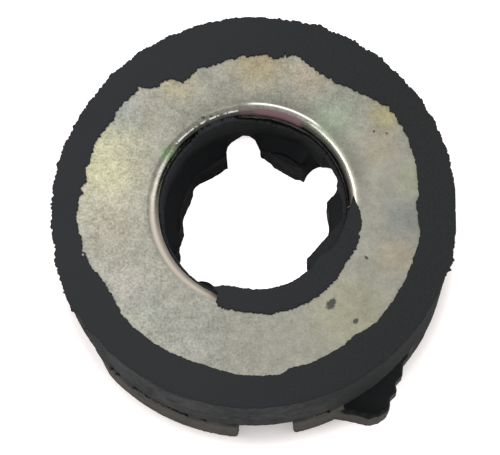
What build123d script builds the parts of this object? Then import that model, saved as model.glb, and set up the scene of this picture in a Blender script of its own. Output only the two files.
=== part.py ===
from build123d import *

import os
from math import cos, radians, sin
from random import Random

os.makedirs("parts", exist_ok=True)

# A seat mount: a moulded rubber ring on four pads, with a steel washer moulded into its top face.
# The origin is on the bore's axis at the level of the pads' feet, and +Z points to the washer.
# Lengths are in millimetres and angles in degrees from +X, anticlockwise seen from above.

# Rubber ring: its side flares a little down to the seam, and its feet stand nearer to -Y than its top
ring_radius = 29.6
seam_flare = 0.4
upper_height = 11.5
pad_height = 8.5
ring_shift_x = 0.2
ring_shift_y = -0.6
lean_x = -0.6
lean_y = -1.1

# Steel washer with its hole drawn down into a collar
washer_margin = 1.6
washer_thickness = 2.0
collar_radius = 14.1
collar_wall = 1.4
collar_length = 6.0
rim_round = 1.8
skin = 0.4

# Bore: a thin lining inside the collar, and lobes on the pads that grip a spacer tube
lining = 0.5
grip_radius = 11.5
ledge_rise = 2.5
lobe_corner = 1.6
worn_corner = 3.2
worn_corner_angles = (84, 202)

# Grooves that part the pads: each pair is the angle at the bore and the angle at the rim
groove_pairs = ((35, 29), (97, 93))
groove_width_bore = 5.0
groove_width_rim = 8.2
pad_corner = 1.2

# Round bite out of a pad beside its groove, and the notch above it that runs on up into the lining
bite_radius = 3.0
bite_inset = 0.2
bite_angle = 37.5
notch_radius = 2.3
notch_inset = 1.0
notch_angle = 31
notch_height = 7.0

# Flash: a film squeezed out at the top edge, the lip over the washer and the fold over its rim
film = 0.4
film_flare = 0.35
lip_width = 4.8
fold_height = 0.35
fold_overhang = 2.2
fold_inset = 1.2
fold_depth = 4.5
fold_start = 248
fold_start_reach = 5
fold_end = 362
fold_end_reach = 4
tongue_start = 99
tongue_end = 131
tongue_height = 1.0

# Ear that bulges from the side, with a torn hollow in its top
ear_height = 6.7
ear_floor = 4.2

# Cracks along the seam
crack_height = 0.4
crack_depth = 0.7

# Levels and radii that follow from these
top = pad_height + upper_height
washer_top = top - skin
washer_bottom = washer_top - washer_thickness
washer_radius = ring_radius - washer_margin
collar_outer = collar_radius + collar_wall
collar_end = washer_top - collar_length
seam_radius = ring_radius + seam_flare
film_radius = ring_radius + film_flare
lip_radius = ring_radius - lip_width
lining_radius = collar_radius - lining
fold_inner_radius = collar_radius - fold_inset
fold_outer_radius = collar_radius + fold_overhang
fold_middle = (fold_inner_radius + fold_outer_radius) / 2
bite_distance = lining_radius - bite_inset
notch_distance = lining_radius - notch_inset
seam_share = upper_height / top
ring_centre = (ring_shift_x, ring_shift_y)
seam_centre = (ring_shift_x + lean_x * seam_share, ring_shift_y + lean_y * seam_share)
pad_centre = (ring_shift_x + lean_x, ring_shift_y + lean_y)
seam_axis = Axis((*seam_centre, 0), (0, 0, 1))

# The lip's inner edge: angle, distance outside the lip's radius, size of the teeth there
lip_marks = (
    (0, -0.2, 0.1), (15, 0.4, 0.1), (36, 0.8, 0.2), (41, 0.1, 0.2), (48, -0.8, 0.2), (57, -1.6, 0.1),
    (66, -1.3, 0.2), (75, -0.1, 0.3), (84, -0.8, 0.3), (95, -0.8, 0.2), (103, -1.4, 0.2), (112, -1.3, 0.3),
    (118, -2.3, 0.1), (122, -1.1, 0.3), (129, -0.9, 0.2), (132, 0.6, 0.2), (140, 1.1, 0.2), (145, 0.6, 0.3),
    (157, 1.2, 0.2), (168, 0.9, 0.3), (181, 1.7, 0.2), (192, 1.3, 0.2), (200, 0.9, 0.2), (204, 0.1, 0.2),
    (212, -0.2, 0.1), (220, 0.4, 0.1), (232, 0.2, 0.1), (253, -0.2, 0.05), (265, 0.3, 0.05),
    (279, 0.5, 0.05), (283, -0.3, 0.05), (296, -0.5, 0.1), (308, -0.6, 0.1), (316, 0.2, 0.1),
    (325, 0.0, 0.1), (340, 0.0, 0.1),
)

# The film round the top edge: angle, distance outside the film's radius, size of the teeth there
film_marks = (
    (0, 0.0, 0.1), (20, 0.15, 0.12), (48, 0.1, 0.15), (51, 0.35, 0.05), (54, 0.1, 0.12), (68, 0.15, 0.1),
    (70.5, 0.5, 0.05), (73, -0.05, 0.1), (90, 0.05, 0.15), (110, -0.05, 0.1), (133, 0.0, 0.1),
    (136, 0.25, 0.05), (138, -0.1, 0.1), (150, 0.0, 0.15), (172, 0.1, 0.15), (190, 0.15, 0.15),
    (205, 0.3, 0.2), (218, 0.1, 0.2), (240, -0.05, 0.05), (300, -0.05, 0.05), (325, 0.0, 0.1),
    (342, 0.1, 0.15), (344, 0.55, 0.1), (347, 0.1, 0.15),
)

# The fold's outer edge, scalloped
fold_marks = (
    (0, 0.0, 0.1), (240, 0.0, 0.1), (255, 0.15, 0.15), (262, -0.05, 0.1), (280, 0.2, 0.12),
    (300, 0.05, 0.15), (320, 0.0, 0.15), (340, 0.1, 0.12), (359, 0.0, 0.1),
)

# The ear's outline from the pad's side round the tip and back: distance outside the pads, angle
ear_points = (
    (-1.4, 290.9), (0.1, 294.9), (1.0, 297.4), (2.0, 299.4), (3.4, 301.9), (3.9, 304.5), (3.9, 306.8),
    (3.3, 308.9), (2.3, 310.4), (2.3, 312.9), (1.2, 314.2), (1.2, 317.0), (0.1, 319.9), (-1.4, 322.7),
)
hollow_points = (
    (-0.8, 296.8), (0.1, 298.0), (2.0, 301.1), (3.1, 303.7), (3.3, 306.1), (5.2, 309.2), (5.5, 322.3),
    (-1.2, 322.7), (-1.8, 309.4),
)

# Places where the lining is torn off the collar: its start, its end and its reach below the washer's top
bare_patches = ((56, 78, 5.2), (78, 95, 3.2))

# Cracks in the seam: where each starts and ends
cracks = ((224.3, 225.3), (226.6, 227.8), (233, 251), (255, 256.3), (288.3, 292.5))


def polar(radius, angle, centre=(0, 0)):
    """Point at a radius and an angle from a centre."""
    return (centre[0] + radius * cos(radians(angle)), centre[1] + radius * sin(radians(angle)))


def wedge(start, end):
    """Corners of a wedge from the bore's axis out past the collar, between two angles."""
    return ((0, 0), polar(2 * collar_radius, start), polar(2 * collar_radius, end))


def beside_pads(marks):
    """Points given by a distance outside the pads and an angle round their centre."""
    return [polar(seam_radius + out, angle, pad_centre) for out, angle in marks]


def glide(marks, angle):
    """Offset and tooth size at an angle, gliding between the two marks beside it."""
    following = [mark for mark in marks if mark[0] > angle]
    after = following[0] if following else (marks[0][0] + 360, *marks[0][1:])
    before = [mark for mark in marks if mark[0] <= angle][-1]
    share = (angle - before[0]) / (after[0] - before[0])
    return [a + share * (b - a) for a, b in zip(before[1:], after[1:])]


def ragged_edge(radius, marks, angles, seed, centre=(0, 0)):
    """Points of a torn edge, each pushed in or out by a tooth."""
    chance = Random(seed)
    points = []
    for angle in angles:
        offset, tooth = glide(marks, angle % 360)
        points.append(polar(radius + offset + chance.uniform(-tooth, tooth), angle, centre))
    return points


lip_angles = [angle * 1.5 for angle in range(240)]
film_angles = range(0, 360, 2)
fold_angles = range(fold_start, fold_end + 1, 3)
fold_outer_edge = ragged_edge(fold_outer_radius, fold_marks, fold_angles, 5)
fold_start_tip = polar(fold_middle, fold_start - fold_start_reach)
fold_end_tip = polar(fold_middle, fold_end + fold_end_reach)

# Half section of the washer below its rim, from the outer edge of the top face to the collar's end
washer_side = (
    (washer_radius, washer_top),
    (washer_radius, washer_bottom),
    (collar_outer, washer_bottom),
    (collar_outer, collar_end),
    (collar_radius, collar_end),
)
rim_centre = (collar_radius + rim_round, washer_top - rim_round)

# The rubber's pocket for the washer goes round the rim in three straight steps
rim_steps = [polar(rim_round / cos(radians(15)), angle, rim_centre) for angle in (165, 135, 105)]

# Plan of the four grooves, each widening from inside the bore to beyond the rim
with BuildSketch() as groove_plan:
    for turn in (0, 180):
        for bore_angle, rim_angle in groove_pairs:
            start = Vector(*polar(grip_radius, bore_angle + turn))
            end = Vector(*polar(seam_radius, rim_angle + turn))
            along = (end - start).normalized()
            across = Vector(-along.Y, along.X)
            spread = (groove_width_rim - groove_width_bore) / 2 / (end - start).length
            near = start - along * grip_radius / 2
            far = end + along * seam_radius / 2
            near_half = across * (groove_width_bore / 2 - spread * grip_radius / 2)
            far_half = across * (groove_width_rim / 2 + spread * seam_radius / 2)
            with BuildLine():
                Polyline(near - near_half, far - far_half, far + far_half, near + near_half, close=True)
            make_face()

# Plan of the pads, whose inner ends are the lobes that grip the spacer tube
with BuildSketch() as pad_plan:
    with Locations(pad_centre):
        Circle(seam_radius)
    Circle(grip_radius, mode=Mode.SUBTRACT)
    add(groove_plan.sketch, mode=Mode.SUBTRACT)
    corners = pad_plan.vertices().sort_by_distance((0, 0))
    inner_corners = corners[: 4 * len(groove_pairs)]
    worn = [inner_corners.sort_by_distance(polar(grip_radius, angle))[0] for angle in worn_corner_angles]
    fillet(worn, worn_corner)
    fillet([corner for corner in inner_corners if corner not in worn], lobe_corner)
    fillet(corners[len(inner_corners) :], pad_corner)

with BuildPart() as steel_washer:
    with BuildSketch(Plane.XZ):
        with BuildLine():
            Polyline((collar_radius + rim_round, washer_top), *washer_side, (collar_radius, rim_centre[1]))
            RadiusArc((collar_radius, rim_centre[1]), (collar_radius + rim_round, washer_top), rim_round)
        make_face()
    revolve(axis=Axis.Z)

with BuildPart() as rubber_body:
    # Upper layer, wider at the seam than at its top edge
    with BuildSketch(Plane.XY.offset(pad_height)):
        with Locations(seam_centre):
            Circle(seam_radius)
    with BuildSketch(Plane.XY.offset(top)):
        with Locations(ring_centre):
            Circle(ring_radius)
    loft()

    # Film of flash round the top edge
    with BuildSketch(Plane.XY.offset(top - film)):
        with BuildLine():
            Polyline(*ragged_edge(film_radius, film_marks, film_angles, 11, ring_centre), close=True)
        make_face()
    extrude(amount=film)

    # Bore through the upper layer, down to the pads
    with BuildSketch(Plane.XY.offset(pad_height)):
        Circle(lining_radius)
    extrude(amount=upper_height, mode=Mode.SUBTRACT)

    # Lip: the rubber above the washer is cut back to its ragged inner edge
    with BuildSketch(Plane.XY.offset(washer_top)):
        with BuildLine():
            Polyline(*ragged_edge(lip_radius, lip_marks, lip_angles, 3, ring_centre), close=True)
        make_face()
    extrude(amount=skin, mode=Mode.SUBTRACT)

    # Rubber is cleared from the washer's rounded rim, except where the fold covers it
    with BuildSketch(Plane.XY.offset(washer_top - rim_round)):
        Circle(collar_radius + 2 * rim_round)
    extrude(amount=rim_round, mode=Mode.SUBTRACT)

    # Tongue of lining that climbs a little way up the rounded rim
    with BuildSketch(Plane.XY.offset(washer_top - rim_round)):
        Circle(collar_radius + rim_round / 2)
        Circle(lining_radius, mode=Mode.SUBTRACT)
        with BuildLine():
            Polyline(*wedge(tongue_start, tongue_end), close=True)
        make_face(mode=Mode.INTERSECT)
    extrude(amount=tongue_height)

    # Fold of flash that comes up through the bore and lies over the rim
    with BuildSketch(Plane.XY.offset(washer_top - fold_depth)):
        with BuildLine():
            Polyline(*fold_outer_edge)
            ThreePointArc(fold_outer_edge[-1], fold_end_tip, polar(fold_inner_radius, fold_end))
            CenterArc((0, 0), fold_inner_radius, fold_end, fold_start - fold_end)
            ThreePointArc(polar(fold_inner_radius, fold_start), fold_start_tip, fold_outer_edge[0])
        make_face()
    extrude(amount=fold_depth + fold_height)

    # Pocket of the washer
    with BuildSketch(Plane.XZ):
        with BuildLine():
            Polyline(*washer_side, *rim_steps, close=True)
        make_face()
    revolve(axis=Axis.Z, mode=Mode.SUBTRACT)

    # Pads, parted by the grooves
    add(extrude(pad_plan.sketch, amount=pad_height, mode=Mode.PRIVATE))

    # Lobes at the bore, which rise from the pads to a sloping ledge
    with BuildSketch(Plane.XY.offset(pad_height)):
        add(pad_plan.sketch)
        Circle(collar_radius, mode=Mode.INTERSECT)
    extrude(amount=ledge_rise)
    with BuildSketch(Plane.XZ):
        with BuildLine():
            Polyline(
                (0, pad_height),
                (grip_radius, pad_height),
                (lining_radius, pad_height + ledge_rise),
                (0, pad_height + ledge_rise),
                close=True,
            )
        make_face()
    revolve(axis=Axis.Z, mode=Mode.SUBTRACT)

    # Bite out of a pad and its ledge, and the notch above it in the lining
    with BuildSketch():
        with Locations(polar(bite_distance, bite_angle)):
            Circle(bite_radius)
    extrude(amount=pad_height, mode=Mode.SUBTRACT)
    with BuildSketch(Plane.XY.offset(pad_height)):
        with Locations(polar(bite_distance, bite_angle)):
            Circle(bite_radius)
        Circle(lining_radius, mode=Mode.INTERSECT)
    extrude(amount=ledge_rise, mode=Mode.SUBTRACT)
    with BuildSketch(Plane.XY.offset(pad_height)):
        with Locations(polar(notch_distance, notch_angle)):
            Circle(notch_radius)
    extrude(amount=notch_height, mode=Mode.SUBTRACT)

    # Bare patches, where the collar shows through the torn lining
    for start, end, reach in bare_patches:
        with BuildSketch(Plane.XY.offset(washer_top - reach)):
            Circle(collar_radius)
            with BuildLine():
                Polyline(*wedge(start, end), close=True)
            make_face(mode=Mode.INTERSECT)
        extrude(amount=reach - rim_round, mode=Mode.SUBTRACT)

    # Ear, with a torn hollow that runs in under the seam
    with BuildSketch():
        with BuildLine():
            Polyline(*beside_pads(ear_points), close=True)
        make_face()
    extrude(amount=ear_height)
    with BuildSketch(Plane.XY.offset(ear_floor)):
        with BuildLine():
            Polyline(*beside_pads(hollow_points), close=True)
        make_face()
    extrude(amount=pad_height - ear_floor, mode=Mode.SUBTRACT)

    # Cracks along the seam
    for start, end in cracks:
        side = Plane(seam_axis.position, x_dir=polar(1, start), z_dir=polar(1, start - 90))
        with BuildSketch(side):
            with Locations((seam_radius, pad_height)):
                Rectangle(2 * crack_depth, crack_height)
        revolve(axis=seam_axis, revolution_arc=end - start, mode=Mode.SUBTRACT)

steel_washer.part.label = "steel_washer"
rubber_body.part.label = "rubber_body"
export_step(steel_washer.part, "parts/steel_washer.step")
export_step(rubber_body.part, "parts/rubber_body.step")
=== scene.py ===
import math
from bisect import bisect_right

import bmesh
import bpy
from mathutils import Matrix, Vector, noise


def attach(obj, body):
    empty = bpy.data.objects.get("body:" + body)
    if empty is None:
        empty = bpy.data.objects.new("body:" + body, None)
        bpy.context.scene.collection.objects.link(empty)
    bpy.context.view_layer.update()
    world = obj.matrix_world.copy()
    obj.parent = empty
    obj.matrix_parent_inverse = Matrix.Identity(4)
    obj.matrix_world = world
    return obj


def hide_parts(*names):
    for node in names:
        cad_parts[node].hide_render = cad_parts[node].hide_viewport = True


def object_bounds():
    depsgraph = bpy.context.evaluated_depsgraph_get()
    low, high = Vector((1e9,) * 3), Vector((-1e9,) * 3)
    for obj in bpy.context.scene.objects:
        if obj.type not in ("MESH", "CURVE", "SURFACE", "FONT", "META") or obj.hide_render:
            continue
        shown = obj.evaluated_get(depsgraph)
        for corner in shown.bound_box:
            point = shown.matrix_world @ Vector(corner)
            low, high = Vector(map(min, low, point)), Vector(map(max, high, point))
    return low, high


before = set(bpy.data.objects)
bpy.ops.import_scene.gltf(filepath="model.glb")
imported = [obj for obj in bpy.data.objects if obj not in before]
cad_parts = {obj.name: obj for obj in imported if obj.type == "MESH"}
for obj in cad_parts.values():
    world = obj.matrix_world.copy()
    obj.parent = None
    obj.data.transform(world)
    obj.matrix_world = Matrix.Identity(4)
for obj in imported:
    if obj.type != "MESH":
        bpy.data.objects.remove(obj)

# Sizes are in millimetres here and become metres when a mesh is finished
MM = 0.001
cad_low, cad_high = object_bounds()

# Sizes of the mount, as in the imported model
TOP = 20.0
SEAM = 8.5
RING_CENTRE = Vector((0.2, -0.6, 0.0))
LEAN = Vector((-0.6, -1.1, 0.0))
PAD_CENTRE = RING_CENTRE + LEAN
BORE_CENTRE = Vector((0.0, 0.0, 0.0))
RING_RADIUS = 29.6
SEAM_RADIUS = 30.0
WASHER_RADIUS = 28.0
WASHER_TOP = 19.6
WASHER_BOTTOM = 17.6
COLLAR_RADIUS = 14.1
COLLAR_OUTER = 15.5
COLLAR_END = 13.6
RIM_ROUND = 1.8
RIM_RADIUS = COLLAR_RADIUS + RIM_ROUND
RIM_LEVEL = WASHER_TOP - RIM_ROUND
LINING_RADIUS = 13.6
GRIP_RADIUS = 11.5
GROOVE_WIDTH_BORE = 5.0
GROOVE_WIDTH_RIM = 8.2
FOOT_ROUND = 1.6

# Grooves: the angle at the bore and the angle at the rim
GROOVES = ((35, 29), (97, 93), (215, 209), (277, 273))
# Cuts in the bore's wall: angle and distance of the centre, radius and upper end
NOTCH = (31.0, 12.6, 2.3, 15.5)
BITE = (37.5, 13.4, 3.0, 11.0)
# Cracks along the seam: the angles where each starts and ends
CRACKS = ((224.3, 225.3), (226.6, 227.8), (233, 251), (255, 256.3), (288.3, 292.5))
# Middle of the torn ear in plan
EAR = (19.2, -27.6)

# Levels, distances and counts of the finer forms that only this script has
FIT = 0.01
LIP_LEVELS = (19.78, 19.93)
FILM_LEVELS = (19.92, 19.8, 19.66)
UNDER_FILM_LEVELS = (19.6, 19.5)
SIDE_TOP = 19.3
TOP_POINTS = 13
SIDE_POINTS = 14
LINING_POINTS = 24
FOLD_TOP = 19.95
LEDGE_RISE = 2.5
CRACK_GAPE = 0.35
PAD_OVERLAP = 0.35
PAD_SIDE = 28.8
GROUND = 0.001

# Torn edges by angle: each mark holds an angle and a distance beyond the CAD model's own edge
LIP_SHIFT = (
    (0, -0.4), (2, -0.5), (5, -0.2), (20, -0.1), (36.5, 0.0), (38, 0.5), (39.5, 0.0), (60, -0.1), (76, -0.1),
    (78.2, -0.5), (78.8, 0.0), (79.4, -0.6), (82, -0.6), (86, -0.1), (117.6, -0.1), (118.5, -0.4),
    (119.4, 0.1), (125, 0.3), (129, 0.5), (131.6, 0.3), (132.2, 0.7), (132.8, 0.1), (140, -0.1),
    (282, -0.1), (288, 0.25), (302, 0.25), (308, -0.1), (345, 0.0), (350, 0.35), (355, -0.1),
)
FILM_SHIFT = (
    (0, 0.1), (41, 0.1), (41.5, 0.35), (42, 0.1), (49.7, 0.1), (50.2, 0.2), (50.7, 0.1), (70, 0.1),
    (70.6, 0.25), (71.2, 0.1), (134.8, 0.1), (135.3, 0.2), (135.8, 0.1), (190, 0.1), (196, 0.3), (208, 0.4),
    (209.6, 0.7), (210.4, 0.3), (215.4, 0.3), (215.9, 0.6), (216.6, 0.2), (225, 0.1), (341.2, 0.1),
    (342, 0.5), (342.8, 0.1), (344.4, 0.1), (344.9, 0.35), (345.6, 0.1),
)

# Length of the teeth on those edges by angle
LIP_TEETH = ((0, 0.1), (40, 0.18), (80, 0.24), (110, 0.2), (150, 0.24), (205, 0.2), (235, 0.08), (300, 0.07))
FILM_TEETH = (
    (0, 0.12), (20, 0.16), (60, 0.2), (95, 0.14), (150, 0.18), (180, 0.22), (215, 0.2), (232, 0.05),
    (300, 0.04), (325, 0.1),
)

# Upper edge of the lining: angle and height, low where the collar is bare and high at the tongue
LINING_EDGE = (
    (0, 17.8), (18, 17.6), (22, 17.4), (52, 17.5), (58, 16.7), (62, 16.5), (76, 16.6), (80, 16.9), (91, 17.1),
    (95, 17.7), (98, 17.9), (102, 18.8), (125, 18.8), (132, 17.85), (180, 17.7), (190, 17.1), (243, 17.1),
    (249, 17.8),
)

# Fold: angle, its edge at the bore and its edge on the washer
FOLD_EDGES = (
    (245, 13.5, 13.8), (248, 13.1, 14.1), (249.3, 12.95, 14.5), (249.8, 12.9, 15.5), (251.5, 12.75, 16.0),
    (254, 12.6, 16.25), (257, 12.5, 16.3), (259, 12.5, 16.0), (262, 12.55, 16.2), (270, 12.65, 16.3),
    (276, 12.7, 16.5), (279, 12.75, 16.8), (282, 12.8, 16.6), (287, 12.85, 16.8), (296, 12.95, 16.85),
    (306, 12.85, 16.85), (312, 12.9, 16.8), (316, 12.7, 16.75), (320, 12.55, 16.65), (324, 12.75, 16.5),
    (328, 13.1, 16.4), (333, 13.6, 16.55), (338, 13.7, 16.7), (343, 13.8, 16.65), (345, 13.85, 16.35),
    (348, 13.9, 16.55), (354, 14.15, 16.2), (359, 14.5, 15.8), (363, 14.8, 15.3), (365, 15.0, 15.1),
)

# Pads' inner ends by angle: how far they lie beyond the CAD model
LOBE_SHIFT = (
    (0, 0.0), (24, 0.0), (27, 0.3), (31, 0.0), (52, -0.1), (56, -0.55), (66, -0.55), (70, -0.35),
    (76, -0.25), (78.5, 0.15), (82, 0.15), (84.5, -0.5), (88, -0.4), (112, 0.2), (126, 0.1), (129, 0.25),
    (132.5, 0.45), (136, 0.7), (143, 0.85), (146, 0.4), (149.5, 0.2), (153, 0.0), (160, 0.0), (164, 0.2),
    (168, 0.2), (172, 0.0), (179.5, -0.3), (184, 0.0), (188.5, 0.5), (193, 0.7), (197.5, 0.15),
    (201.5, -0.25), (210, -0.4), (218, 0.0), (330, -0.2),
)
# Lining's foot over the far groove by angle: how far it lies beyond the lining
GROOVE_FOOT = (
    (76, -2.05), (84, -2.0), (86.1, -1.9), (87.6, -1.3), (89.7, -0.35), (93.4, 0.25), (97.2, 0.45),
    (101, 0.1), (104.8, -0.1), (108.7, -0.7), (112.6, -2.0), (118, -2.05),
)
# Groove sides near the bore: the groove, the direction from it to the pad and how far that side is set back
GROOVE_SHIFT = (
    (GROOVES[0], (0, -1, 0), 0.5), (GROOVES[1], (-1, 0, 0), 0.5), (GROOVES[1], (1, 0, 0), -0.6),
)
# Flap of rubber under the fold by angle: how far it lies beyond the lining
FLAP = (
    (309, 0.0), (312, -1.5), (314, -2.1), (316.5, -2.4), (323, -2.3), (327, -2.3), (331, -2.15), (335, -2.0),
    (339, -1.8), (344, -1.3), (350, -0.6), (354, 0.0),
)

# Colours, in linear light
RUBBER_PLAIN = (0.022, 0.0245, 0.0265)
RUBBER_DARKER = (0.0210, 0.0225, 0.0250)
RUBBER_LIGHTER = (0.0240, 0.0255, 0.0275)
# Painted shade: the rubber's top darker towards the right
RUBBER_RIGHT_SHADE = (0.0175, 0.0190, 0.0195)
RUBBER_SPECK = (0.0255, 0.0275, 0.0290)
# Black for a painted shadow under the film and painted shade in the cracks
RUBBER_SHADOW_BLACK = (0.002, 0.002, 0.002)
RUBBER_SHADED = (0.006, 0.0064, 0.0072)
RUBBER_CRUMB = (0.012, 0.012, 0.012)
DUST_ON_SIDE = (0.070, 0.073, 0.074)
DUST_ON_PADS = (0.078, 0.074, 0.065)
# A pale fleck on the rubber, and a painted highlight on the far lobe
PALE_FLECK_AND_HIGHLIGHT = (0.3, 0.3, 0.3)
STEEL_PLAIN = (0.30, 0.29, 0.245)
STEEL_DARKER = (0.295, 0.288, 0.242)
STEEL_LIGHTER = (0.345, 0.336, 0.282)
STEEL_GLINT = (0.95, 0.94, 0.90)
STEEL_PINK = (0.15, 0.080, 0.090)
# Painted highlight along the near left of the rim: its edge and its crest
RIM_EDGE_LIT = (0.33, 0.29, 0.25)
RIM_CREST_HIGHLIGHT = (0.52, 0.46, 0.38)
PAPER = (0.88, 0.84, 0.83)
PAPER_GLOW = (1.0, 0.96, 0.95)
BLACK = (0.0, 0.0, 0.0)

# Clouds of colour on the steel, the bright ones at the left also painted reflection: place in plan, size, the
# colour that multiplies it and how strongly
TINTS_AND_REFLECTION = (
    (1.0, 22.5, 5.0, (1.19, 1.03, 0.76), 0.8),
    (9.0, 20.5, 4.0, (1.26, 1.10, 0.97), 0.6),
    (-22.0, 8.0, 7.0, (1.19, 1.20, 0.94), 0.8),
    (12.5, 14.5, 4.5, (0.93, 1.10, 1.00), 0.6),
    (-19.0, 14.5, 3.5, (0.93, 1.00, 1.15), 0.7),
    (22.5, -2.0, 4.0, (0.70, 0.74, 0.82), 0.9),
    (-12.65, 8.3, 1.6, (0.75, 1.10, 0.70), 0.7),
    (21.0, -8.0, 3.5, (1.12, 1.00, 0.85), 0.6),
    (14.0, -16.5, 6.5, (1.05, 1.06, 0.88), 0.7),
    (-9.0, -20.0, 7.0, (1.02, 1.05, 1.12), 0.6),
    (-18.0, -12.0, 4.0, (1.12, 1.07, 1.18), 0.5),
    (-22.5, 3.5, 8.0, (1.22, 1.20, 1.12), 0.9),
    (15.5, -15.5, 5.0, (0.93, 0.93, 0.91), 0.9),
    (-20.5, 8.5, 4.0, (0.96, 0.96, 1.03), 0.9),
    (-17.0, 14.0, 3.5, (0.95, 0.93, 0.89), 0.9),
    (-11.0, 19.0, 4.0, (0.98, 0.98, 0.88), 0.9),
    (-21.5, -4.0, 4.0, (0.96, 0.93, 0.91), 0.9),
    (-15.5, -15.5, 4.0, (0.98, 1.02, 1.05), 0.9),
    (12.0, 12.0, 4.0, (1.10, 1.15, 1.12), 0.9),
    (6.5, 20.5, 4.0, (1.10, 1.09, 1.10), 0.9),
    (0.5, 17.0, 3.0, (1.09, 1.09, 1.08), 0.9),
    (-7.5, -21.0, 3.5, (1.07, 1.08, 1.09), 0.9),
    (20.3, 14.3, 3.5, (1.20, 1.10, 0.78), 0.9),
    (19.0, 9.0, 3.5, (1.05, 0.99, 0.92), 0.9),
    (24.0, 4.0, 3.0, (0.96, 1.03, 0.90), 0.9),
    (-11.5, 19.5, 3.5, (1.12, 1.03, 0.93), 0.8),
)
# Crumbs of rubber stuck to the steel: place in plan and size
CRUMBS = (
    (11.5, -15.2, 0.75), (11.8, -14.7, 0.6), (15.2, -17.6, 0.5), (16.9, -8.1, 0.25), (18.2, 11.3, 0.2),
    (20.1, 11.1, 0.14), (-7.35, 13.7, 0.3), (-6.2, 13.9, 0.25),
)
# Marks round the steel's rim, mostly painted light: the angles where each starts and ends and the ease at
# both
HALO_ANGLES = (5.0, 135.0, 15.0)
DIM_ANGLES = (0.0, 140.0, 6.0)
DIM_LINE_ANGLES = (24.0, 60.0, 3.0)
GLINT_LINE_ANGLES = (52.0, 91.0, 4.0)
DASHES_ANGLES = (98.0, 141.0, 2.0)
PINK_ANGLES = (60.0, 97.0, 2.0)
MATT_LIT_RIM_ANGLES = (180.0, 252.0, 18.0)

# View of the photograph
PHOTO_WIDTH = 500
PHOTO_CENTRE_PIXELS = (250.0, 227.5)
RING_CENTRE_PIXELS = (253.6, 208.9)
PIXELS_PER_MM = 6.73
TILT = math.radians(14.3)
SIDE_TILT = math.radians(1.6)
CAMERA_DISTANCE = 375.0


def smooth(low, high, value):
    """0 below low, 1 above high and an eased step between them."""
    t = min(1.0, max(0.0, (value - low) / (high - low)))
    return t * t * (3 - 2 * t)


def blend(marks, angle, column=1):
    """Value at an angle, gliding between the marks round the circle."""
    angle %= 360
    after = bisect_right([mark[0] for mark in marks], angle)
    low = marks[after - 1]
    high = marks[after % len(marks)]
    span = (high[0] - low[0]) % 360 or 360
    share = ((angle - low[0]) % 360) / span
    return low[column] + share * (high[column] - low[column])


def at(radius, angle, z, centre=BORE_CENTRE):
    """Point at a radius, an angle in degrees and a height."""
    turn = math.radians(angle)
    return Vector((centre.x + radius * math.cos(turn), centre.y + radius * math.sin(turn), z))


def centre_at(z):
    """Centre of the rubber's side at a height, which leans towards the near side on its way down."""
    return RING_CENTRE + LEAN * (1 - z / TOP)


def lump(point, size, seed=0.0):
    """Smooth noise from -1 to 1 whose lumps are about this size."""
    return noise.noise(Vector((point.x / size + seed, point.y / size, point.z / size)))


def teeth(angle, radius, seed):
    """Torn edge from -1 to 1: long bites, short nibs and a few specks."""
    place = at(radius, angle, seed * 10)
    bites = lump(place, 1.4, seed)
    nibs = 1 - 3.2 * abs(lump(place, 0.6, seed + 5))
    specks = lump(place, 0.3, seed + 9)
    return 0.5 * bites + 0.45 * nibs + 1.1 * specks


def outline_of(node, height, inner, outer, centre):
    """Radius of a CAD outline by angle, from the corners at one height between two radii."""
    marks = []
    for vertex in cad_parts[node].data.vertices:
        spot = vertex.co / MM - centre
        radius = math.hypot(spot.x, spot.y)
        if abs(vertex.co.z / MM - height) < 0.005 and inner < radius < outer:
            marks.append((round(math.degrees(math.atan2(spot.y, spot.x)) % 360, 3), radius))
    return sorted(dict(marks).items())


def finish_piece(bm, name, material, node):
    """Makes an object of a mesh in millimetres, flat underneath, and hands it to the frame."""
    bmesh.ops.recalc_face_normals(bm, faces=bm.faces)
    bmesh.ops.scale(bm, vec=(MM, MM, MM), verts=bm.verts)
    for face in bm.faces:
        face.smooth = any(vert.co.z > GROUND * MM for vert in face.verts)
    data = bpy.data.meshes.new(name)
    bm.to_mesh(data)
    bm.free()
    data.materials.append(material)
    piece = bpy.data.objects.new(name, data)
    bpy.context.scene.collection.objects.link(piece)
    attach(piece, "root")
    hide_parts(node)


def ring_of(sections, closed=True):
    """Mesh through a row of closed sections, joined end to end or capped."""
    bm = bmesh.new()
    rows = [[bm.verts.new(point) for point in section] for section in sections]
    pairs = list(zip(rows, rows[1:]))
    if closed:
        pairs.append((rows[-1], rows[0]))
    else:
        bm.faces.new(rows[0])
        bm.faces.new(rows[-1])
    for here, there in pairs:
        for k in range(len(here)):
            bm.faces.new((here[k - 1], here[k], there[k], there[k - 1]))
    return bm


class Value:
    """A value in a shader whose arithmetic adds the nodes for it."""

    def __init__(self, tree, socket):
        self.tree = tree
        self.socket = socket

    def node(self, kind, inputs, output=0, **settings):
        """Adds a node, feeds its inputs and gives back one of its outputs."""
        made = self.tree.nodes.new(kind)
        for name, value in settings.items():
            setattr(made, name, value)
        for key, value in inputs.items():
            if isinstance(value, Value):
                self.tree.links.new(value.socket, made.inputs[key])
            else:
                made.inputs[key].default_value = value
        return Value(self.tree, made.outputs[output])

    def maths(self, operation, *values):
        """Adds a maths node over these values alone."""
        return self.node("ShaderNodeMath", dict(enumerate(values)), operation=operation)

    def __add__(self, other):
        return self.maths("ADD", self, other)

    def __sub__(self, other):
        return self.maths("SUBTRACT", self, other)

    def __rsub__(self, other):
        return self.maths("SUBTRACT", other, self)

    def __mul__(self, other):
        return self.maths("MULTIPLY", self, other)

    def __pow__(self, other):
        return self.maths("POWER", self, other)

    __radd__ = __add__
    __rmul__ = __mul__


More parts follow.
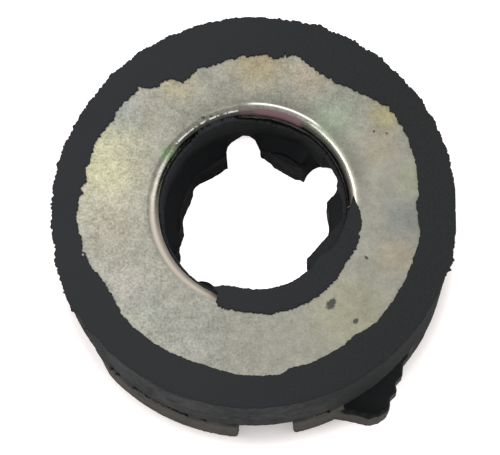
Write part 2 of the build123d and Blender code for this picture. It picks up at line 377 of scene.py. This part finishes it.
def start_material(name, colour, metallic, roughness, specular):
    """Plain material with its shader, its tree and the place in millimetres as three values."""
    material = bpy.data.materials.new(name)
    material.use_nodes = True
    material.diffuse_color = (*colour, 1)
    tree = material.node_tree
    shader = tree.nodes["Principled BSDF"]
    shader.inputs["Base Color"].default_value = (*colour, 1)
    shader.inputs["Metallic"].default_value = metallic
    shader.inputs["Roughness"].default_value = roughness
    shader.inputs["Specular IOR Level"].default_value = specular
    coordinates = Value(tree, tree.nodes.new("ShaderNodeTexCoord").outputs["Object"])
    place = coordinates.node("ShaderNodeVectorMath", {0: coordinates, 3: 1 / MM}, operation="SCALE")
    parts = tree.nodes.new("ShaderNodeSeparateXYZ")
    tree.links.new(place.socket, parts.inputs[0])
    return material, shader, place, [Value(tree, parts.outputs[k]) for k in range(3)]


def step(value, low, high):
    """Eased step of a shader value from 0 at low to 1 at high."""
    inputs = {"Value": value, "From Min": low, "From Max": high, "To Min": 0.0, "To Max": 1.0}
    return value.node("ShaderNodeMapRange", inputs, interpolation_type="SMOOTHSTEP")


def within(value, low, high, ease):
    """1 between two limits and 0 outside them, with an eased step at each."""
    return step(value, low - ease, low + ease) * (1.0 - step(value, high - ease, high + ease))


def grain(place, size, detail=2.0, roughness=0.5):
    """Noise from 0 to 1 in a shader whose grains are about this size."""
    inputs = {"Vector": place, "Scale": 1 / size, "Detail": detail, "Roughness": roughness}
    return place.node("ShaderNodeTexNoise", inputs)


def mixed(factor, first, second, blend_type="MIX"):
    """Two colours mixed by a factor."""
    pair = [(*colour, 1) if isinstance(colour, tuple) else colour for colour in (first, second)]
    inputs = {0: factor, 6: pair[0], 7: pair[1]}
    return factor.node("ShaderNodeMix", inputs, output=2, data_type="RGBA", blend_type=blend_type)


def distance_from(x, y, spot_x, spot_y):
    """Distance in plan from a spot, in a shader."""
    return ((x - spot_x) ** 2.0 + (y - spot_y) ** 2.0) ** 0.5


def angle_about(x, y, spot_x, spot_y):
    """Angle in degrees about a spot, in a shader, from -180 to 180."""
    return x.maths("ARCTAN2", y - spot_y, x - spot_x) * math.degrees(1)


def add_bump(shader, height, strength, distance):
    """Bumps the shader's surface by a height value."""
    inputs = {"Height": height, "Strength": strength, "Distance": distance * MM}
    height.tree.links.new(height.node("ShaderNodeBump", inputs).socket, shader.inputs["Normal"])


def rubber_material():
    """Black rubber: smooth cool top, a dustier and browner near side, painted shade to the right, in the
    cracks, under the film, in the ear's hollow and in the bore, and one painted highlight.
    """
    material, shader, place, (x, y, z) = start_material("black_rubber", RUBBER_PLAIN, 0.0, 0.62, 0.07)
    tree = place.tree
    share = 1.0 - z * (1 / TOP)
    centre_x = RING_CENTRE.x + LEAN.x * share
    centre_y = RING_CENTRE.y + LEAN.y * share
    radius = distance_from(x, y, centre_x, centre_y)
    angle = angle_about(x, y, centre_x, centre_y)
    bore = distance_from(x, y, 0.0, 0.0)
    normal = Value(tree, tree.nodes.new("ShaderNodeNewGeometry").outputs["Normal"])
    up = normal.node("ShaderNodeSeparateXYZ", {0: normal}, output=2)
    upright = 1.0 - step(up, 0.35, 0.8)
    cloud = grain(place, 6.0, 3.0)
    patch = grain(place, 1.3, 3.0, 0.6)
    fine = grain(place, 0.4, 4.0, 0.6)
    shade = mixed(cloud, RUBBER_DARKER, RUBBER_LIGHTER)
    # Darker towards the right: painted shade
    shade = mixed(step(x, -22.0, 22.0), shade, RUBBER_RIGHT_SHADE)
    shade = mixed(step(fine, 0.35, 0.75) * 0.6, shade, RUBBER_SPECK)

    # Dust on the near side, paler on the pads
    side = step(radius, 28.8, 29.3) * z.maths("MAXIMUM", upright, within(z, 7.6, 9.0, 0.1))
    below = 1.0 - step(z, 8.2, 8.8)
    front = (1.0 - step(y, -24.0, -15.0)) * (1.0 - step(x, 4.0, 20.0) * 0.85 * (1.0 - below))
    dust = side * front * (0.4 + 0.4 * below + 0.9 * (cloud - 0.5) + 1.1 * (patch - 0.5))
    shade = mixed(step(dust, 0.0, 1.0), shade, mixed(below, DUST_ON_SIDE, DUST_ON_PADS))

    # Painted shadow: a thin dark line under the film at the near left, and painted shade in the cracks along
    # the seam
    line = within(z + 0.8 * (patch - 0.5), 17.3, 17.9, 0.15) * step(fine, 0.3, 0.5) * side
    line = line * within(angle, -146.0, -108.0, 4.0)
    torn = 0.0
    for start, end in CRACKS:
        torn = within(angle, start - 360, end - 360, 0.5) + torn
    torn = torn * within(z + 0.9 * (fine - 0.5) + 0.5 * (patch - 0.5), 7.95, 8.85, 0.12) * side
    shade = mixed(line * 0.8 + torn, shade, RUBBER_SHADOW_BLACK)

    # The hollow in the ear and the inside of the bore lie in shade
    hollow = within(z, 3.6, 7.6, 0.4) * step(radius, 27.5, 28.5) * step(up, 0.2, 0.5)
    hollow = hollow * (1.0 - step(distance_from(x, y, *EAR), 5.0, 6.5))
    inside = (1.0 - step(bore, 13.7, 14.4)) * (1.0 - step(z, 11.0, 15.5)) * 0.6
    inside = inside * (1.0 - 0.9 * step(x, 6.0, 10.0))
    shade = mixed(hollow * 0.2 + inside, shade, RUBBER_SHADED)

    # A pale fleck on the top at the left and a painted highlight, a pale dot, on the far lobe
    fleck = 1.0 - step(distance_from(x, y, -25.1, -7.4), 0.1, 0.22)
    dot = (1.0 - step(distance_from(x, y, 6.0, 9.7), 0.1, 0.3)) * within(z, 4.0, 6.5, 0.5)
    shade = mixed(fleck + dot, shade, PALE_FLECK_AND_HIGHLIGHT)
    tree.links.new(shade.socket, shader.inputs["Base Color"])
    rough = 0.56 + 0.16 * fine + 0.12 * side
    tree.links.new(rough.socket, shader.inputs["Roughness"])
    add_bump(shader, fine * 0.7 + grain(place, 0.18, 2.0) * 0.3, 0.5, 0.06)
    return material


def steel_material():
    """Zinc plated steel: soft grain under faint yellow, green, blue and pink clouds, with stuck crumbs, and
    painted reflections and highlights at the left and round the rim.
    """
    material, shader, place, (x, y, _) = start_material("plated_steel", STEEL_PLAIN, 1.0, 0.42, 0.5)
    tree = place.tree
    radius = distance_from(x, y, 0.0, 0.0)
    angle = angle_about(x, y, 0.0, 0.0)
    spangle = grain(place, 1.0, 3.0, 0.6)
    fine = grain(place, 0.35, 2.0, 0.5)
    cloud = grain(place, 4.0, 3.0, 0.6)
    shade = mixed(step(cloud, 0.3, 0.7), STEEL_DARKER, STEEL_LIGHTER)
    for spot_x, spot_y, size, tint, amount in TINTS_AND_REFLECTION:
        reach = 1.0 - step(distance_from(x, y, spot_x, spot_y), size * 0.2, size * 1.25)
        shade = mixed(reach * amount, shade, tint, "MULTIPLY")
    # Brighter towards the left: painted reflection
    shade = mixed(1.0 - step(x, -19.0, -3.0), shade, (1.16, 1.16, 1.16), "MULTIPLY")

    # Grain, stronger at the left and at the far side
    depth = 0.45 + x.maths("MAXIMUM", 0.45 * (1.0 - step(x, -14.0, 12.0)), 0.35 * step(y, 6.0, 18.0))
    mottle = 0.4 * step(spangle, 0.3, 0.7) + 0.6 * step(fine, 0.25, 0.75)
    shade = mixed((1.0 - mottle) * depth, shade, (0.42, 0.42, 0.42), "MULTIPLY")

    # Far half of the rim: a darker band round it, painted dark reflection on its inner edge, a painted
    # highlight line and painted glint dashes, and a pink bare patch
    halo = (1.0 - step(radius, 16.2, 19.0)) * step(radius, 15.6, 16.2) * within(angle, *HALO_ANGLES)
    shade = mixed(halo, shade, (0.72, 0.73, 0.72), "MULTIPLY")
    # Painted dark reflection on the inner edge and along a thin line
    dim = (1.0 - step(radius, 14.7, 15.15)) * within(angle, *DIM_ANGLES)
    dim = dim + within(radius, 15.02, 15.16, 0.04) * within(angle, *DIM_LINE_ANGLES) * 0.6
    shade = mixed(dim, shade, (0.3, 0.3, 0.32), "MULTIPLY")
    # Painted highlight line and painted glint dashes
    glint_line = within(radius, 15.7, 15.98, 0.08) * within(angle, *GLINT_LINE_ANGLES)
    dashes = within(radius, 14.88, 15.08, 0.06) * within(angle, *DASHES_ANGLES) * step(spangle, 0.46, 0.54)
    shade = mixed(glint_line * 0.8 + dashes, shade, STEEL_GLINT)
    bare = within(angle + 8.0 * (spangle - 0.5), *PINK_ANGLES) * within(radius, 14.3, 15.2, 0.15)
    bare = bare * (1.0 - 0.5 * step(angle, 84.0, 92.0))
    shade = mixed(bare, shade, STEEL_PINK)

    # Near left of the rim, matt, with a painted highlight: a pale beige band along its crest
    whole_angle = angle + 360.0 * (1.0 - step(angle, -1.0, 1.0))
    matt_lit_rim = within(whole_angle, *MATT_LIT_RIM_ANGLES) * (1.0 - step(radius, 15.2, 15.8))
    shade = mixed(matt_lit_rim, shade, mixed(within(radius, 14.7, 15.3, 0.4), RIM_EDGE_LIT, RIM_CREST_HIGHLIGHT))
    rough = 0.36 + 0.18 * spangle - 0.2 * (1.0 - step(radius, 15.4, 16.1)) * (1.0 - matt_lit_rim)
    tree.links.new(rough.socket, shader.inputs["Roughness"])

    ragged = 0.7 * (fine - 0.5) + 0.4 * (spangle - 0.5)
    stuck = 0.0
    for spot_x, spot_y, size in CRUMBS:
        gap = distance_from(x, y, spot_x, spot_y) + ragged
        stuck = x.maths("MAXIMUM", 1.0 - step(gap, size * 0.5, size * 1.2), stuck)
    shade = mixed(stuck * 0.9, shade, RUBBER_CRUMB)
    tree.links.new(shade.socket, shader.inputs["Base Color"])
    metal = 1.0 - x.maths("MAXIMUM", 0.9 * stuck, 0.75 * matt_lit_rim + bare)
    tree.links.new(metal.socket, shader.inputs["Metallic"])
    add_bump(shader, spangle * 0.6 + cloud * 2.0, 0.3, 0.05)
    return material


def floor_material():
    """White paper, brighter to the eye than to the mount so that only close shadows show on it."""
    material, shader, place, (x, y, _) = start_material("white_paper", PAPER, 0.0, 0.9, 0.0)
    tree = place.tree
    seen = Value(tree, tree.nodes.new("ShaderNodeLightPath").outputs["Is Camera Ray"])
    # Glow for the eye: full inside the bore, painted light over the shade there, and weaker close round the
    # pads, a painted shadow
    through_bore = 1.0 - step(distance_from(x, y, 0.0, 0.0), 15.0, 19.0)
    clear = step(distance_from(x, y, PAD_CENTRE.x, PAD_CENTRE.y), 29.8, 32.4)
    glow = seen * x.maths("MAXIMUM", 0.25 + 0.33 * clear, through_bore)
    tree.links.new(mixed(glow, BLACK, PAPER_GLOW).socket, shader.inputs["Emission Color"])
    shader.inputs["Emission Strength"].default_value = 1.0
    return material


def crack_at(angle):
    """How far a crack gapes at this angle along the seam, from 0 to 1."""
    gape = 0.0
    for start, end in CRACKS:
        opens = smooth(start - 0.4, start + 0.2, angle)
        gape = max(gape, opens * (1 - smooth(end - 0.2, end + 0.4, angle)))
    return gape


def groove_side(spot, groove):
    """Distance in plan from a groove's side out over the pad, and its direction."""
    start = at(GRIP_RADIUS, groove[0], 0)
    end = at(SEAM_RADIUS, groove[1], 0)
    along = (end - start).normalized()
    offset = Vector((spot.x, spot.y, 0)) - start
    ahead = offset.dot(along)
    if ahead < -GRIP_RADIUS / 2:
        return math.inf, Vector((0, 0, 0))
    spread = (GROOVE_WIDTH_RIM - GROOVE_WIDTH_BORE) / 2 / (end - start).length
    across = offset - along * ahead
    return across.length - GROOVE_WIDTH_BORE / 2 - spread * ahead, across.normalized()


def on_pad(spot):
    """1 on a pad and 0 in a groove, at this place in plan."""
    return min(smooth(-0.1, 1.5, groove_side(spot, groove)[0]) for groove in GROOVES)


def band_profile(angle, lip, film):
    """Upper layer's section at an angle as radius and height: lip, top face, film and side."""
    lip_edge = blend(lip, angle) + blend(LIP_SHIFT, angle) + blend(LIP_TEETH, angle) * teeth(angle, 25, 1.0)
    film_edge = blend(film, angle) + blend(FILM_SHIFT, angle)
    film_edge = max(film_edge + blend(FILM_TEETH, angle) * teeth(angle, 30, 2.0), RING_RADIUS + 0.08)
    drop = 0.03 + 0.02 * teeth(angle, 25, 3.0)
    points = [(lip_edge + 0.06, WASHER_TOP + FIT)]
    points += zip((lip_edge, lip_edge + 0.05), LIP_LEVELS)
    inner, outer = lip_edge + 0.2, film_edge - 0.22
    last = TOP_POINTS - 1
    for j in range(TOP_POINTS):
        points.append((inner + (outer - inner) * j / last, TOP - drop * (j in (0, last))))
    points += zip((film_edge - 0.06, film_edge, film_edge - 0.08), FILM_LEVELS)
    under = RING_RADIUS + 0.03 + 0.1 * (film_edge - RING_RADIUS)
    points += zip((under + 0.12, under + 0.02), UNDER_FILM_LEVELS)
    gape = crack_at(angle)
    last = SIDE_POINTS - 1
    for j in range(SIDE_POINTS):
        z = SIDE_TOP - (SIDE_TOP - SEAM - 0.12) * j / last
        side = RING_RADIUS + (SEAM_RADIUS - RING_RADIUS) * (TOP - z) / (TOP - SEAM)
        spot = at(side, angle, z)
        bump = 0.05 * lump(spot, 2.5, 7) + 0.035 * lump(spot, 0.8, 9)
        points.append((side + bump - 0.02, z + (CRACK_GAPE * gape if j == last else 0)))
    seam_nib = 0.05 * teeth(angle, 30, 4.0)
    foot = SEAM - 0.1 - (PAD_OVERLAP - 0.75 * gape) * on_pad(at(28.5, angle, 0, PAD_CENTRE))
    return points + [(SEAM_RADIUS - 0.03 + seam_nib, foot + 0.04), (PAD_SIDE, foot)]


def make_band(material, steps):
    """Upper layer of the rubber: lip over the washer, top face, film and side down to the seam."""
    lip = outline_of("rubber_body", TOP, 18, 28, RING_CENTRE)
    film = outline_of("rubber_body", TOP, 28, 32, RING_CENTRE)
    pocket_radius = WASHER_RADIUS + 0.02
    hidden = [(16.0, SEAM), (16.0, WASHER_BOTTOM - FIT)]
    hidden += [(pocket_radius, WASHER_BOTTOM - FIT), (pocket_radius, WASHER_TOP + FIT)]
    sections = []
    for k in range(steps):
        angle = k * 360 / steps
        section = []
        for radius, z in band_profile(angle, lip, film):
            spot = at(radius, angle, z, RING_CENTRE if z > 19.4 else centre_at(z))
            if z > 19.9:
                spot.z -= 0.02 * (1 + lump(spot, 3.0, 3)) * 0.7
            spot.x = max(cad_low[0] / MM, min(spot.x, cad_high[0] / MM))
            spot.y = min(spot.y, cad_high[1] / MM)
            section.append(spot)
        sections.append(section + [at(radius, angle, z) for radius, z in hidden])
    finish_piece(ring_of(sections), "rubber_band", material, "rubber_body")


def wall_radius(angle, z):
    """Radius of the bore's wall above the pads: lining, ledges over the lobes, notch and bite."""
    radius = LINING_RADIUS
    if z < SEAM + LEDGE_RISE:
        presence = on_pad(at(12.6, angle, 0))
        low = 1 - (z - SEAM) / LEDGE_RISE
        radius -= presence * (LINING_RADIUS - GRIP_RADIUS) * low * 0.98
        if GROOVE_FOOT[0][0] < angle < GROOVE_FOOT[-1][0]:
            radius = LINING_RADIUS + blend(GROOVE_FOOT, angle) * low
    for cut_angle, distance, size, ceiling in (NOTCH, BITE):
        across = math.radians(angle - cut_angle)
        reach = size ** 2 - (distance * math.sin(across)) ** 2
        if z < ceiling and reach > 0 and math.cos(across) > 0:
            far = distance * math.cos(across) + math.sqrt(reach)
            radius = max(radius, far if ceiling > SEAM + LEDGE_RISE else min(far, LINING_RADIUS))
    if FLAP[0][0] < angle < FLAP[-1][0]:
        radius = min(radius, LINING_RADIUS + blend(FLAP, angle) * smooth(10.5, 14.0, z))
    return radius


def make_lining(material, steps):
    """Lining inside the collar, down to the pads, with its uneven upper edge."""
    collar = COLLAR_RADIUS - 0.015
    foot = SEAM + 0.03
    sections = []
    for k in range(steps):
        angle = k * 360 / steps
        ragged = 0.14 + 0.1 * smooth(0.0, 0.6, abs(blend(LINING_EDGE, angle) - RIM_LEVEL))
        edge = blend(LINING_EDGE, angle) + ragged * teeth(angle, 14, 5.0)
        points = []
        for j in range(LINING_POINTS):
            z = foot + (edge - 0.12 - SEAM) * j / (LINING_POINTS - 1)
            radius = wall_radius(angle, z)
            spot = at(radius, angle, z)
            radius += 0.16 * lump(spot, 2.6, 11) + 0.07 * lump(spot, 0.8, 13)
            points.append((min(radius, COLLAR_RADIUS - 0.06) if z > COLLAR_END - 0.3 else radius, z))
        high = min(1.5, max(0.0, edge - RIM_LEVEL))
        back = RIM_RADIUS - math.sqrt(RIM_ROUND ** 2 - high ** 2) - 0.015
        middle = RIM_RADIUS - math.sqrt(RIM_ROUND ** 2 - (high / 2) ** 2) - 0.015
        root = min(RIM_LEVEL, edge - high)
        points += [(13.75, edge), (max(13.8, back - 0.05), edge), (max(13.85, back), edge - 0.06)]
        points += [(middle, root + high / 2 - 0.08), (collar, root - 0.12), (collar, COLLAR_END - 0.02)]
        points += [(16.4, COLLAR_END - 0.02), (16.4, foot)]
        sections.append([at(radius, angle, z) for radius, z in points])
    finish_piece(ring_of(sections), "rubber_lining", material, "rubber_body")


def make_fold(material, step_angle):
    """Fold of flash over the near side of the rim, with a scalloped outer edge and torn ends."""
    first, last = FOLD_EDGES[0][0], FOLD_EDGES[-1][0]
    marks = [(angle - first, inner, outer) for angle, inner, outer in FOLD_EDGES]
    count = int((last - first) / step_angle)
    floor = WASHER_TOP + FIT
    sections = []
    for k in range(count + 1):
        along = (last - first) * min(k, count - 0.001) / count
        angle = first + along
        share = min(smooth(-0.5, 5.0, along), smooth(-0.5, 5.0, last - angle))
        inner = blend(marks, along, 1) + 0.08 * share * teeth(angle, 13, 7.0)
        outer = max(blend(marks, along, 2) + 0.18 * share * teeth(angle, 16, 6.0), inner + 0.2)
        low = 15.0 + 3.2 * (1 - share) + 1.2 * smooth(330, 360, angle)
        top = FOLD_TOP - 0.2 * (1 - share)
        points = []
        for j in range(10):
            z = low + (top - 0.35 - low) * j / 9
            spot = at(inner, angle, z)
            points.append((inner + 0.08 * lump(spot, 1.4, 15) * share + 0.02, z))
        width = min(0.35, (outer - inner) / 3)
        points += [(inner + width / 7, top - 0.22), (inner + width / 2, top - 0.1)]
        points.append((inner + width, top - 0.04))
        for j in range(1, 9):
            radius = inner + width + (outer - inner - 2 * width) * j / 8
            points.append((radius, top - 0.03 * (1 + lump(at(radius, angle, 0), 1.5, 17))))
        points += [(outer - width / 3, top - 0.1), (outer, top - 0.2), (outer - 0.03, floor)]
        for turn in (90, 70, 45, 20, 0):
            radius = RIM_RADIUS - (RIM_ROUND + 0.02) * math.cos(math.radians(turn))
            z = RIM_LEVEL + (RIM_ROUND + 0.02) * math.sin(math.radians(turn))
            points.append((min(max(radius, inner + 0.1), outer - 0.04), z if radius < outer else floor))
        points.append((min(max(COLLAR_RADIUS - 0.02, inner + 0.05), outer - 0.05), low))
        sections.append([at(radius, angle, z) for radius, z in points])
    finish_piece(ring_of(sections, closed=False), "rubber_fold", material, "rubber_body")


def make_washer(material, steps):
    """Steel washer turned round its axis, with fine steps over its rounded rim."""
    points = [(WASHER_RADIUS, WASHER_BOTTOM), (COLLAR_OUTER, WASHER_BOTTOM), (COLLAR_OUTER, COLLAR_END)]
    points += [(COLLAR_RADIUS, COLLAR_END), (COLLAR_RADIUS, 15.0), (COLLAR_RADIUS, 16.5)]
    for j in range(15):
        turn = math.radians(90 * j / 14)
        points.append((RIM_RADIUS - RIM_ROUND * math.cos(turn), RIM_LEVEL + RIM_ROUND * math.sin(turn)))
    points += [(radius, WASHER_TOP) for radius in (16.2, 17, 18.5, 20.5, 22.5, 24.5, 26.5, WASHER_RADIUS)]
    sections = [[at(radius, k * 360 / steps, z) for radius, z in points] for k in range(steps)]
    finish_piece(ring_of(sections), "steel_washer_skin", material, "steel_washer")


def dense_pads(voxel):
    """Pads and ear, cut from the CAD model below the seam and remeshed, with flat faces kept large."""
    bm = bmesh.new()
    bm.from_mesh(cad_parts["rubber_body"].data)
    bmesh.ops.remove_doubles(bm, verts=bm.verts, dist=0.002 * MM)
    bmesh.ops.scale(bm, vec=(1 / MM,) * 3, verts=bm.verts)
    cut = bmesh.ops.bisect_plane(
        bm,
        geom=bm.verts[:] + bm.edges[:] + bm.faces[:],
        plane_co=(0, 0, SEAM - 0.02),
        plane_no=(0, 0, 1),
        clear_outer=True,
    )
    edges = [item for item in cut["geom_cut"] if isinstance(item, bmesh.types.BMEdge)]
    bmesh.ops.triangle_fill(bm, use_beauty=True, edges=edges)
    bmesh.ops.recalc_face_normals(bm, faces=bm.faces)
    rough = bpy.data.meshes.new("pads_rough")
    bm.to_mesh(rough)
    bm.free()
    holder = bpy.data.objects.new("pads_rough", rough)
    bpy.context.scene.collection.objects.link(holder)
    remesh = holder.modifiers.new("remesh", "REMESH")
    remesh.mode = "VOXEL"
    remesh.voxel_size = voxel
    dense = holder.evaluated_get(bpy.context.evaluated_depsgraph_get()).to_mesh()
    bm = bmesh.new()
    bm.from_mesh(dense)
    bpy.data.objects.remove(holder)
    flats = []
    for face in bm.faces:
        level = face.calc_center_median().z
        if abs(face.normal.z) > 0.999 and (level < 0.1 or level > SEAM - 0.2):
            flats.append(face)
    edges = {edge for face in flats for edge in face.edges}
    verts = {vert for face in flats for vert in face.verts}
    bmesh.ops.dissolve_limit(bm, angle_limit=0.02, verts=list(verts), edges=list(edges))
    bmesh.ops.triangulate(bm, faces=[face for face in bm.faces if len(face.verts) > 4])
    return bm


def pad_push(spot):
    """How far a place on the pads or the ear is moved from the CAD model."""
    plan = Vector((spot.x - PAD_CENTRE.x, spot.y - PAD_CENTRE.y, 0))
    radius = plan.length
    angle = math.degrees(math.atan2(plan.y, plan.x)) % 360
    out = plan.normalized()
    push = Vector((0, 0, 0))

    # Uneven side, cracked along the seam and drawn in at the near left
    if radius > PAD_SIDE and 0.1 < spot.z:
        push += out * (0.06 * lump(spot, 2.2, 21) + 0.04 * lump(spot, 0.8, 23) - 0.03)
        if radius < 30.4:
            push -= out * ((0.02 + 0.3 * crack_at(angle)) * smooth(6.0, 8.4, spot.z))
        push.z -= 0.3 * crack_at(angle) * smooth(7.6, 8.4, spot.z)
    if 205 < angle < 225:
        push -= out * 0.6 * smooth(224.0, 216.0, angle) * smooth(24.0, 29.5, radius)

    # Rounded feet at the near groove
    aside, across = groove_side(spot, GROOVES[3])
    if radius > 25 and 0 < aside < FOOT_ROUND and spot.z < FOOT_ROUND:
        reach = Vector((FOOT_ROUND - aside, FOOT_ROUND - spot.z))
        if reach.length > FOOT_ROUND:
            back = (1 - FOOT_ROUND / reach.length) * smooth(25.0, 28.0, radius)
            push += across * (reach.x * back) + Vector((0, 0, reach.y * back))

    # Inner ends and groove sides in the bore
    bore = math.hypot(spot.x, spot.y)
    if bore < 13.5 and spot.z < SEAM + 0.1:
        inward = Vector((-spot.x, -spot.y, 0)).normalized()
        shift = blend(LOBE_SHIFT, math.degrees(math.atan2(spot.y, spot.x)))
        push += inward * (0.1 * lump(spot, 2.4, 25) + 0.08 * lump(spot, 0.9, 27) - shift)
    for groove, toward, amount in GROOVE_SHIFT:
        aside, across = groove_side(spot, groove)
        if bore < 18 and -0.2 < aside < 1.5 and across.dot(Vector(toward)) > 0.7:
            push += across * (amount * (1 - smooth(0.2, 1.5, aside)) * (1 - smooth(15.0, 18.0, bore)))

    # Torn upper edge of the ear
    if spot.z > 3.9 and math.hypot(spot.x - EAR[0], spot.y - EAR[1]) < 7.0 and radius > 28.0:
        wild = smooth(4.0, 4.8, spot.z)
        push += 0.22 * wild * Vector((lump(spot, 1.1, 29), lump(spot, 1.1, 31), lump(spot, 0.9, 33)))
    return push


def make_pads(material, voxel):
    """Pads and ear below the seam, refined and roughened."""
    bm = dense_pads(voxel)
    for vert in bm.verts:
        vert.co = vert.co + pad_push(vert.co)
    finish_piece(bm, "rubber_pads", material, "rubber_body")


def add_camera():
    """Camera above the mount, leaning towards its near side and a little to the right."""
    data = bpy.data.cameras.new("camera")
    data.sensor_width = 36.0
    data.lens = data.sensor_width * PIXELS_PER_MM * CAMERA_DISTANCE / PHOTO_WIDTH
    data.shift_x = (PHOTO_CENTRE_PIXELS[0] - RING_CENTRE_PIXELS[0]) / PHOTO_WIDTH
    data.shift_y = (RING_CENTRE_PIXELS[1] - PHOTO_CENTRE_PIXELS[1]) / PHOTO_WIDTH
    data.clip_start = 0.01
    data.clip_end = 10
    camera = bpy.data.objects.new("camera", data)
    lean = math.cos(TILT)
    back = Vector((lean * math.sin(SIDE_TILT), -math.sin(TILT), lean * math.cos(SIDE_TILT)))
    camera.location = (RING_CENTRE + Vector((0, 0, TOP)) + back * CAMERA_DISTANCE) * MM
    camera.rotation_euler = (TILT, SIDE_TILT, 0)
    bpy.context.scene.collection.objects.link(camera)
    bpy.context.scene.camera = camera


def add_lamp(name, place, target, width, height, power):
    """Soft lamp of a width and a height at a place, turned to its target, in millimetres and watts."""
    data = bpy.data.lights.new(name, "AREA")
    data.shape = "RECTANGLE"
    data.size = width * MM
    data.size_y = height * MM
    data.energy = power
    lamp = bpy.data.objects.new(name, data)
    lamp.location = Vector(place) * MM
    lamp.rotation_euler = (Vector(target) - Vector(place)).to_track_quat("-Z", "Y").to_euler()
    bpy.context.scene.collection.objects.link(lamp)


def add_world(strength):
    """Even white light from all round."""
    world = bpy.data.worlds.new("studio")
    world.use_nodes = True
    background = world.node_tree.nodes["Background"]
    background.inputs["Color"].default_value = (1, 1, 1, 1)
    background.inputs["Strength"].default_value = strength
    bpy.context.scene.world = world


def add_floor():
    """Sheet of paper that the mount stands on."""
    bm = bmesh.new()
    bmesh.ops.create_grid(bm, x_segments=1, y_segments=1, size=2.0)
    data = bpy.data.meshes.new("floor")
    bm.to_mesh(data)
    bm.free()
    data.materials.append(floor_material())
    floor = bpy.data.objects.new("floor", data)
    bpy.context.scene.collection.objects.link(floor)


rubber = rubber_material()
steel = steel_material()
make_band(rubber, 1800)
make_lining(rubber, 900)
make_fold(rubber, 0.2)
make_washer(steel, 720)
make_pads(rubber, 0.26)

add_camera()
add_lamp("window", (-200, 240, 480), (0, 0, 0), 500, 500, 1.0)
add_lamp("room", (420, 60, 230), (0, 0, 0), 400, 300, 0.8)
add_lamp("strip", (-205, 5, 370), (0, 0, 19), 190, 80, 0.4)
add_world(0.75)
add_floor()

bpy.context.scene.view_settings.view_transform = "Standard"
